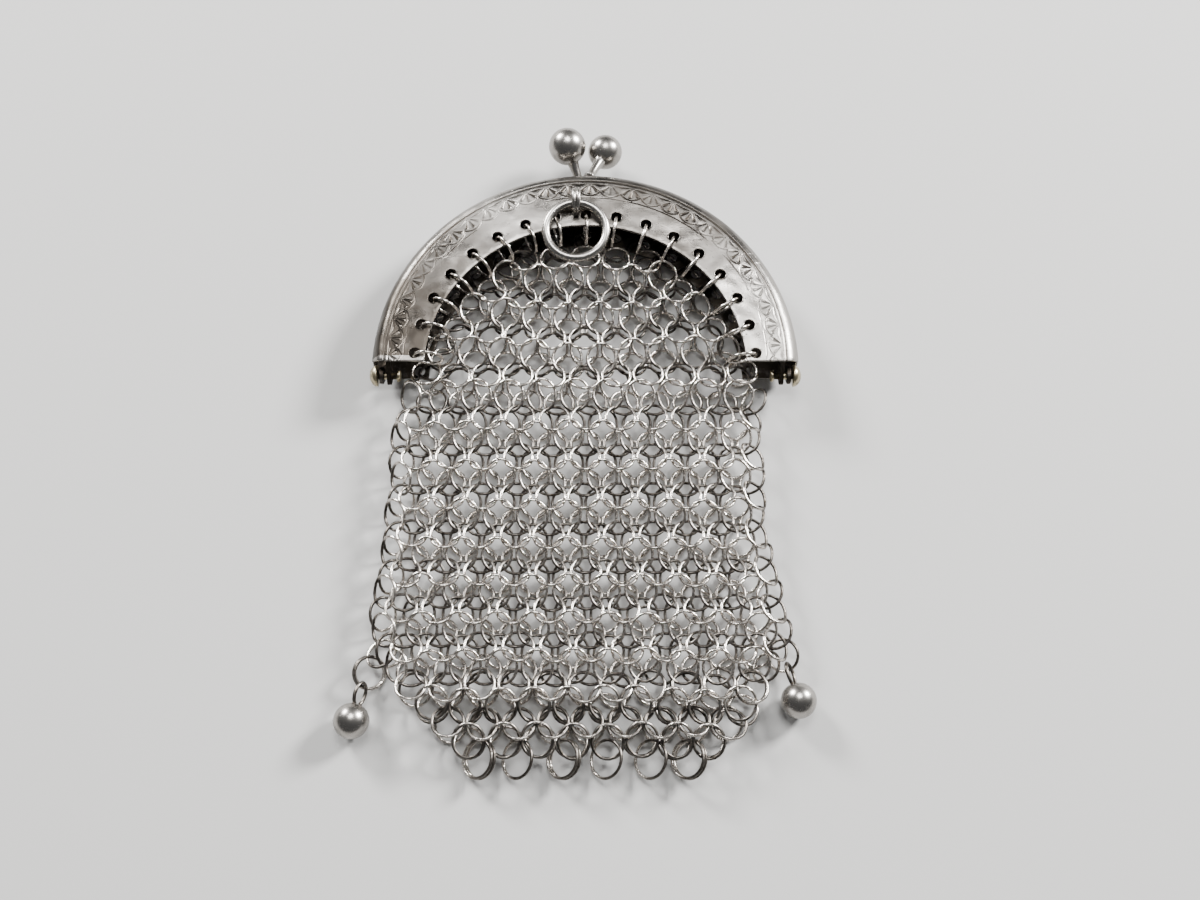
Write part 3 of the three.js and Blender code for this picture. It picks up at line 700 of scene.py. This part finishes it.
class PURSE_OT_carrying_ring(bpy.types.Operator):
    """The carrying ring and the staple that holds it"""

    bl_idname = "purse.carrying_ring"
    bl_label = "Carrying ring"

    def execute(self, context):
        finish = context.scene.purse_finish
        low, high = (np.array(v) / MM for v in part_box("carrying_ring"))
        tilt = np.radians(5)
        piece = ring_object(
            "ring_for_chain", (low + high) / 2, (1, 0, 0), (0, np.cos(tilt), np.sin(tilt)),
            RING_RADIUS, RING_WIRE_RADIUS, 64, 20)
        finished(piece, "ring", "ball_silver", polished_material("polished_silver_ring", finish))
        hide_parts("carrying_ring")

        # The staple is two strands side by side, wider apart at the top than at the feet
        x = (low[0] + high[0]) / 2
        foot_y, half, foot_z = 23.0, 1.75, FACE_LEVEL - 0.2
        turn = np.radians(np.linspace(0, 180, 15))
        wire_above_ring, strand_radius = 0.67, 0.33
        bend = high[2] + wire_above_ring - half
        arch = np.stack([np.full(15, x), foot_y + half - half * np.cos(turn), bend + half * np.sin(turn)], -1)
        path = np.concatenate([[[x, foot_y, foot_z]], arch, [[x, foot_y + 2 * half, foot_z]]])
        material = polished_material("polished_silver_staple", finish, 0.5)
        for name, side in (("staple_left", -1), ("staple_right", 1)):
            spread = 0.12 + 0.2 * np.clip((path[:, 2] - foot_z) / (arch[:, 2].max() - foot_z), 0, 1)
            strand = path + side * spread[:, None] * np.array([1.0, 0, 0])
            strand_object = swept_object(name, strand, strand_radius, (1, 0, 0), 14)
            finished(strand_object, "front", "plate_silver", material)
        return {"FINISHED"}


# Hook rings


def hook_eyes(hole_level, eye_level):
    """Where each hook ring passes the mail: two hook radii from its hole, straight towards the centre."""
    angles = hole_angles()
    fall = hole_level - eye_level
    run = np.sqrt(4 * HOOK_RADIUS ** 2 - fall ** 2)
    places = on_circle(HOLE_CIRCLE_RADIUS - run, HOLE_CIRCLE_DROP, angles)
    return np.column_stack([places, np.full(HOLE_COUNT, eye_level)])


def hook_rings(hole_level, eye_level, lean, up):
    """Centres and plane directions of the hook rings of one plate, leaning by lean degrees each."""
    angles = hole_angles()
    holes = np.column_stack([
        on_circle(HOLE_CIRCLE_RADIUS, HOLE_CIRCLE_DROP, angles), np.full(HOLE_COUNT, hole_level)])
    eyes = hook_eyes(hole_level, eye_level)
    along = unit(holes - eyes)
    sideways = np.column_stack([np.sin(angles), -np.cos(angles), np.zeros(HOLE_COUNT)])
    over = np.cross(sideways, along) * up
    lean = np.radians(lean)[:, None]
    return (holes + eyes) / 2, along, unit(np.sin(lean) * sideways + np.cos(lean) * over)


class PURSE_OT_hooks(bpy.types.Operator):
    """The rings that hook the mail to the plates"""

    bl_idname = "purse.hooks"
    bl_label = "Hook rings"

    def execute(self, context):
        sizes, finish = context.scene.purse_sizes, context.scene.purse_finish
        material = wire_material("hook_wire_silver", finish)
        share = np.linspace(0, 1, HOLE_COUNT)
        front_lean = 16 - 14 * share + random.uniform(-7, 7, HOLE_COUNT)
        back_lean = 57 + random.uniform(-4, 4, HOLE_COUNT)
        for side, hole, eye, lean, up in (
            ("front", FRONT_HOLE_LEVEL, FRONT_EYE_LEVEL, front_lean, 1),
            ("back", BACK_HOLE_LEVEL, BACK_EYE_LEVEL, back_lean, -1),
        ):
            centres, first, second = hook_rings(hole, eye, lean, up)
            piece = ring_object(
                f"{side}_hook_rings", centres, first, second, HOOK_RADIUS, sizes.wire_radius / MM, 24, 7)
            finished(piece, side, "wire_silver", material)
            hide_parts(*(f"{side}_hook_{k:02d}" for k in range(1, HOLE_COUNT + 1)))
        return {"FINISHED"}


# The mail: rows of rings, each through two rings above and two below

# Rows above the hinge, as (y, ring count), top row first
UPPER_ROWS = ((16.4, 5), (13.3, 6), (10.3, 7), (7.4, 8), (4.5, 9), (1.7, 10), (-1.0, 11))
# Rows of the closed tube below the hinge and the number of rings round each, in turn half a ring apart
TUBE_COUNT = 22
TUBE_ROWS = (
    -3.8, -7.2, -10.0, -13.0, -15.8, -18.7, -21.5, -24.2, -26.9, -29.4, -32.0, -34.5, -37.1, -39.6, -42.1)
# Rows of the two panels that close towards the seam, as (y, ring count)
SEAM_ROWS = ((-44.6, 11), (-47.0, 10), (-49.3, 9), (-51.5, 8))
# The outline, as y and the bag's left and right edges
OUTLINE = np.array([
    (-52.6, -15.5, 17.0), (-50.0, -19.0, 20.5), (-47.0, -22.0, 22.5), (-44.0, -25.0, 24.5),
    (-41.0, -26.5, 26.0), (-38.0, -27.5, 27.0), (-35.0, -28.3, 26.5), (-30.0, -27.3, 25.5),
    (-25.0, -27.0, 24.5), (-20.0, -26.8, 24.2), (-15.0, -26.6, 24.3), (-10.0, -26.6, 24.3),
    (-5.0, -26.0, 24.6), (-3.0, -25.0, 25.0)])


def settled(places, free, links, neighbours, hooked, eyes):
    """Ring centres moved until linked rings are 3.3 to 3.9 mm apart, rings side by side 4.5 to 5.4 mm
    apart and hooked rings 1.6 to 1.9 mm from their eyes: each pass moves both ends by a part of the excess."""
    places = places.copy()
    passes, part, hooked_part = 240, 0.2, 0.5
    for _ in range(passes):
        move = np.zeros_like(places)
        for pairs, low, high in ((links, 3.3, 3.9), (neighbours, 4.5, 5.4)):
            run = places[pairs[:, 1]] - places[pairs[:, 0]]
            length = np.linalg.norm(run, axis=1, keepdims=True)
            shift = part * (length - np.clip(length, low, high)) * run / length
            np.add.at(move, pairs[:, 0], shift)
            np.add.at(move, pairs[:, 1], -shift)
        run = eyes - places[hooked]
        length = np.linalg.norm(run, axis=1, keepdims=True)
        np.add.at(move, hooked, hooked_part * (length - np.clip(length, 1.6, 1.9)) * run / length)
        places += move * free[:, None]
    return places


def upper_panel(eyes):
    """Centres and row numbers of one panel's rings above the hinge, hung from the hook eyes."""
    pitch, middle_x = 4.85, -0.2
    rows = [
        np.column_stack([middle_x + (np.arange(n) - (n - 1) / 2) * pitch, np.full(n, y)])
        for y, n in UPPER_ROWS]
    # The last row stays in place and stands for the first row of the tube
    count, tube_pitch, tube_x = 12, 4.6, -0.4
    tube_row = tube_x + (np.arange(count) - (count - 1) / 2) * tube_pitch
    rows.append(np.column_stack([tube_row, np.full(count, TUBE_ROWS[0])]))
    starts = np.cumsum([0] + [len(r) for r in rows])
    links, neighbours = [], []
    for k, row in enumerate(rows):
        i = np.arange(len(row)) + starts[k]
        neighbours.append(np.column_stack([i[:-1], i[1:]]))
        if k + 1 < len(rows):
            j = np.arange(len(row)) + starts[k + 1]
            links += [np.column_stack([i, j]), np.column_stack([i, j + 1])]
    # The top row and both ends of the rows below it hang from the hooks, from the right end to the left
    right = [starts[k + 1] - 1 for k in range(6, 0, -1)]
    left = [starts[k] for k in range(1, 7)]
    hooked = np.array(right + [4, 3, 2, 1, 0] + left)
    places = np.concatenate(rows)
    free = np.where(np.arange(len(places)) < starts[7], 1.0, 0.0)
    places = settled(places, free, np.concatenate(links), np.concatenate(neighbours), hooked, eyes[:, :2])
    row_of = np.concatenate([np.full(len(r), k) for k, r in enumerate(rows)])
    hook_lift = 0.45
    lift = np.zeros(len(places))
    lift[hooked] = hook_lift
    keep = row_of < 7
    return places[keep], row_of[keep], lift[keep]


def round_tube(y, shares):
    """Centre, tangent and outward normal at shares of the way round the flattened tube at the height y.

    The section is two straight runs joined by half circles, starting in the middle of the left fold."""
    inset = 0.8
    left = np.interp(y, OUTLINE[:, 0], OUTLINE[:, 1]) + inset + FOLD_RADIUS
    right = np.interp(y, OUTLINE[:, 0], OUTLINE[:, 2]) - inset - FOLD_RADIUS
    fold, run = np.pi * FOLD_RADIUS, right - left
    s = (shares % 1.0) * 2 * (fold + run)
    middle = MAIL_MIDDLE
    stops = [fold / 2, fold / 2 + run, 1.5 * fold + run, 1.5 * fold + 2 * run]
    turn_left = np.where(s < stops[0], s, s - 2 * (fold + run)) / FOLD_RADIUS
    turn_right = (s - stops[1]) / FOLD_RADIUS
    part = np.digitize(s, stops)
    x = np.choose(part, [
        left - FOLD_RADIUS * np.cos(turn_left), left + s - stops[0], right + FOLD_RADIUS * np.sin(turn_right),
        right - (s - stops[2]), left - FOLD_RADIUS * np.cos(turn_left)])
    z = np.choose(part, [
        middle + FOLD_RADIUS * np.sin(turn_left), np.full(len(s), FRONT_LEVEL),
        middle + FOLD_RADIUS * np.cos(turn_right), np.full(len(s), BACK_LEVEL),
        middle + FOLD_RADIUS * np.sin(turn_left)])
    normal_x = np.choose(part, [
        -np.cos(turn_left), 0 * s, np.sin(turn_right), 0 * s, -np.cos(turn_left)])
    normal_z = np.choose(part, [
        np.sin(turn_left), 0 * s + 1, np.cos(turn_right), 0 * s - 1, np.sin(turn_left)])
    normal = np.column_stack([normal_x, 0 * s, normal_z])
    tangent = np.column_stack([normal_z, 0 * s, -normal_x])
    return np.column_stack([x, y + 0 * s, z]), tangent, normal


def mail_rings():
    """All rings of the mail: centres, directions along the row, outward normals, row lean and side."""
    centres, tangents, normals, leans, on_front = [], [], [], [], []

    def put(centre, tangent, normal, lean, front):
        count = len(centre)
        centres.append(centre)
        tangents.append(np.broadcast_to(tangent, (count, 3)))
        normals.append(np.broadcast_to(normal, (count, 3)))
        leans.append(np.full(count, lean) if np.isscalar(lean) else lean)
        on_front.append(np.broadcast_to(front, count))

    for level, hole, eye, side, lift_share in (
        (FRONT_LEVEL, FRONT_HOLE_LEVEL, FRONT_EYE_LEVEL, 1.0, 1.0),
        (BACK_LEVEL, BACK_HOLE_LEVEL, BACK_EYE_LEVEL, -1.0, 0.0),
    ):
        places, row_of, lift = upper_panel(hook_eyes(hole, eye))
        lean = np.where(row_of % 2, 1.0, -1.0)
        z = level + lift_share * lift
        put(np.column_stack([places, z]), (side, 0, 0), (0, 0, side), lean, side > 0)
    for k, y in enumerate(TUBE_ROWS):
        shares = (np.arange(TUBE_COUNT) + (0.25 if k % 2 == 0 else 0.75)) / TUBE_COUNT
        centre, tangent, normal = round_tube(y, shares)
        put(centre, tangent, normal, 1.0 if k % 2 == 0 else -1.0, normal[:, 2] > -0.2)
    reach = 2.2
    for k, (y, count) in enumerate(SEAM_ROWS):
        left = np.interp(y, OUTLINE[:, 0], OUTLINE[:, 1]) + reach
        right = np.interp(y, OUTLINE[:, 0], OUTLINE[:, 2]) - reach
        x = np.linspace(left, right, count)
        sink = (k + 1) / len(SEAM_ROWS)
        for level, side in ((FRONT_LEVEL - 0.9 * sink, 1.0), (BACK_LEVEL - 0.1 * sink, -1.0)):
            centre = np.column_stack([x, np.full(count, y), np.full(count, level)])
            put(centre, (side, 0, 0), (0, 0, side), -1.0 if k % 2 == 0 else 1.0, side > 0)
    return [np.concatenate(part) for part in (centres, tangents, normals, leans, on_front)]


def strayed(centres, tangents, normals, tilt, looseness):
    """Small irregularities: shifts in the plane, turns of the ring about the row and about its own axis.

    They grow in the slack patch at the lower right and near the folds."""
    count = len(centres)
    slack = np.exp(-((centres[:, 0] - 7) / 5) ** 2 - ((centres[:, 1] + 40) / 3.5) ** 2)
    slack += 0.8 * np.exp(-((centres[:, 0] - 18) / 6) ** 2 - ((centres[:, 1] + 44) / 6) ** 2)
    slack += 0.5 * (np.abs(centres[:, 0]) > 19) + 0.4 * (centres[:, 1] < -43)
    amount = looseness * (1 + 2.2 * slack)
    centres = centres + amount[:, None] * np.column_stack([
        random.uniform(-1, 1, count), random.uniform(-1, 1, count), random.uniform(-0.3, 0.6, count)])
    tilt = tilt * (1 + random.uniform(-0.10, 0.10, count) * (1 + 2.0 * slack))
    turn = np.radians(random.uniform(-5, 5, count) * (1 + 2.5 * slack))[:, None]
    down = np.array([0.0, 1.0, 0.0])
    first = unit(tangents * np.cos(turn) + down * np.sin(turn))
    second = unit(down * np.cos(turn) - tangents * np.sin(turn))
    return centres, first, second, tilt


class PURSE_OT_mail(bpy.types.Operator):
    """The bag of linked rings, as a front and a back piece"""

    bl_idname = "purse.mail"
    bl_label = "Mail"

    def execute(self, context):
        sizes, finish = context.scene.purse_sizes, context.scene.purse_finish
        material = wire_material("mail_wire_silver", finish)
        centres, tangents, normals, leans, on_front = mail_rings()
        centres, first, level, tilt = strayed(
            centres, tangents, normals, sizes.ring_tilt, sizes.looseness / MM)
        tilt = (tilt * leans)[:, None]
        second = unit(np.cos(tilt) * level + np.sin(tilt) * normals)
        oval = -sizes.ring_pull + random.uniform(-0.03, 0.03, len(centres))
        # No ring sinks into the floor
        lowest = np.abs(second[:, 2]) * (1 - oval) * sizes.ring_radius / MM + sizes.wire_radius / MM + 0.03
        centres[:, 2] = np.maximum(centres[:, 2], lowest)
        for name, chosen in (("mail_front", on_front), ("mail_back", ~on_front)):
            piece = ring_object(
                name, centres[chosen], first[chosen], second[chosen],
                sizes.ring_radius / MM, sizes.wire_radius / MM, 20, 5, oval[chosen],
                -leans[chosen] * sizes.ring_wave / MM)
            piece.data.materials.append(material)
            if name == "mail_front":
                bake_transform(piece)
            else:
                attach(piece, "back")
                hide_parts("mail_bag")
        return {"FINISHED"}


# Rings and drops below the bag


def node_middle(node):
    """The middle of a CAD node's box, in millimetres."""
    low, high = (np.array(v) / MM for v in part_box(node))
    return (low + high) / 2


class PURSE_OT_bottom_rings(bpy.types.Operator):
    """The rings that hang below the seam"""

    bl_idname = "purse.bottom_rings"
    bl_label = "Bottom rings"

    def execute(self, context):
        sizes, finish = context.scene.purse_sizes, context.scene.purse_finish
        nodes = sorted(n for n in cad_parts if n.startswith("bottom_ring_"))
        lean = np.radians(38)
        centres = np.array([node_middle(node) for node in nodes])
        piece = ring_object(
            "seam_rings", centres, (0, -1, 0), (np.cos(lean), 0, np.sin(lean)),
            BOTTOM_RING_RADIUS, sizes.wire_radius / MM, 28, 7)
        finished(piece, "back", "wire_silver", wire_material("seam_wire_silver", finish))
        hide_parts(*nodes)
        return {"FINISHED"}


class PURSE_OT_drops(bpy.types.Operator):
    """The two ball drops, their eyes and the links that hold them"""

    bl_idname = "purse.drops"
    bl_label = "Drops"

    def execute(self, context):
        sizes, finish = context.scene.purse_sizes, context.scene.purse_finish
        polished = polished_material("polished_silver_drops", finish, 0.15)
        wire = wire_material("link_wire_silver", finish)
        for side, links, corner in (
            ("left", ("left_link_1", "left_link_2"), (-25.1, -38.8, 1.3)),
            ("right", ("right_link_1",), (24.95, -38.4, 1.3)),
        ):
            low, high = (np.array(v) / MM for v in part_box(f"{side}_drop"))
            x = low[0] + DROP_RADIUS if side == "left" else high[0] - DROP_RADIUS
            centre = np.array([x, low[1] + DROP_RADIUS, DROP_RADIUS + 0.05])
            towards = node_middle(links[-1]) - centre
            towards[2] = 0
            towards = unit(towards)
            ball = turned_object(f"{side}_ball", ball_profile(DROP_RADIUS), 32, centre, towards, (0, 0, 1))
            finished(ball, "back", "ball_silver", polished)
            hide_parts(f"{side}_drop")
            across = np.array([-towards[1], towards[0], 0]) * 0.5 + np.array([0, 0, 0.866])
            loop = ring_object(
                f"{side}_eye", [centre + towards * 3.6], [towards], [unit(across)], 1.25, 0.25, 28, 8, [0.2])
            finished(loop, "back", "wire_silver", wire)
            chain = [np.array(corner), *(node_middle(node) for node in links), centre]
            rings = []
            for k in range(len(links)):
                along = chain[k + 2] - chain[k]
                along = unit(along * (1, 1, 0))
                flat = np.array([-along[1], along[0], 0])
                lean = np.radians(30 if k % 2 == 0 else -30)
                across = np.cos(lean) * flat + np.array([0, 0, np.sin(lean)])
                rings.append((chain[k + 1], along, across))
                # The second link of the left corner is doubled
                if k > 0:
                    rings.append((chain[k + 1] + np.cross(along, across) * 0.5, along, across))
            centres, first, second = (np.array([r[k] for r in rings]) for k in range(3))
            piece = ring_object(
                f"{side}_links", centres, first, second, LINK_RADIUS, sizes.wire_radius / MM, 24, 8)
            finished(piece, "back", "wire_silver", wire)
            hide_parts(*links)
        return {"FINISHED"}


# Floor, light and camera


def aim(thing, target):
    """Turns a light so that it looks at a point."""
    towards = thing.location.copy()
    towards[:] = [end - start for start, end in zip(thing.location, target)]
    thing.rotation_euler = towards.to_track_quat("-Z", "Y").to_euler()


class PURSE_OT_stage(bpy.types.Operator):
    """The pale floor, soft lights and the camera"""

    bl_idname = "purse.stage"
    bl_label = "Floor, light and camera"

    def execute(self, context):
        scene = context.scene
        half = 900
        corners = [(-half, -half, 0), (half, -half, 0), (half, half, 0), (-half, half, 0)]
        floor = mesh_object("floor", corners, [np.array([[0, 1, 2, 3]])])
        floor.data.materials.append(floor_material("pale_floor", scene.purse_finish))

        world = bpy.data.worlds.new("studio")
        world.use_nodes = True
        world.node_tree.nodes["Background"].inputs["Color"].default_value = (0.95, 0.97, 1.0, 1)
        world.node_tree.nodes["Background"].inputs["Strength"].default_value = 0.15
        scene.world = world
        for name, place, size, power in (
            ("ceiling", (0.03, 0.22, 0.71), 0.30, 4.6),
            ("window", (-0.42, 0.48, 0.34), 0.20, 12.0),
            ("lamp", (0.58, 0.36, 0.38), 0.20, 22.0),
        ):
            light = bpy.data.lights.new(name, "AREA")
            light.shape = "DISK"
            light.size = size
            light.energy = power
            lamp = bpy.data.objects.new(name, light)
            lamp.location = place
            scene.collection.objects.link(lamp)
            aim(lamp, (0, -0.01, 0))

        # The photo's view: the camera looks at a point in the purse's upper middle
        elevation = np.radians(69.0)
        distance = 0.1963
        look_x, look_y, look_z = 0.00206, -0.0108, 0.001
        camera = bpy.data.objects.new("camera", bpy.data.cameras.new("camera"))
        camera.data.lens = 42.0
        camera.data.sensor_width = 36.0
        camera.data.clip_start = 0.01
        camera.location = (
            look_x, look_y - distance * np.cos(elevation), look_z + distance * np.sin(elevation))
        camera.rotation_euler = (np.pi / 2 - elevation, 0, 0)
        scene.collection.objects.link(camera)
        scene.camera = camera
        return {"FINISHED"}


OPERATORS = (
    PURSE_OT_plates, PURSE_OT_clasp, PURSE_OT_rivets, PURSE_OT_carrying_ring, PURSE_OT_hooks,
    PURSE_OT_mail, PURSE_OT_bottom_rings, PURSE_OT_drops, PURSE_OT_stage)


class PURSE_PT_pieces(bpy.types.Panel):
    """Lists the purse's pieces and settings"""

    bl_idname = "PURSE_PT_pieces"
    bl_label = "Mesh coin purse"
    bl_space_type = "VIEW_3D"
    bl_region_type = "UI"
    bl_category = "Purse"

    def draw(self, context):
        for settings in (context.scene.purse_sizes, context.scene.purse_finish):
            for key in settings.bl_rna.properties.keys():
                if key not in ("rna_type", "name"):
                    self.layout.prop(settings, key)
        for operator in OPERATORS:
            self.layout.operator(operator.bl_idname)


CLASSES = (PurseSizes, PurseFinish, *OPERATORS, PURSE_PT_pieces)


def register():
    """Registers the classes and their settings on the scene."""
    for cls in CLASSES:
        bpy.utils.register_class(cls)
    bpy.types.Scene.purse_sizes = PointerProperty(type=PurseSizes)
    bpy.types.Scene.purse_finish = PointerProperty(type=PurseFinish)


def unregister():
    """Removes the settings and classes."""
    del bpy.types.Scene.purse_finish
    del bpy.types.Scene.purse_sizes
    for cls in reversed(CLASSES):
        bpy.utils.unregister_class(cls)


def main():
    """Makes every piece in order."""
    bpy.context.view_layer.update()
    register()
    for operator in OPERATORS:
        group, name = operator.bl_idname.split(".")
        getattr(getattr(bpy.ops, group), name)()


if __name__ == "__main__":
    main()
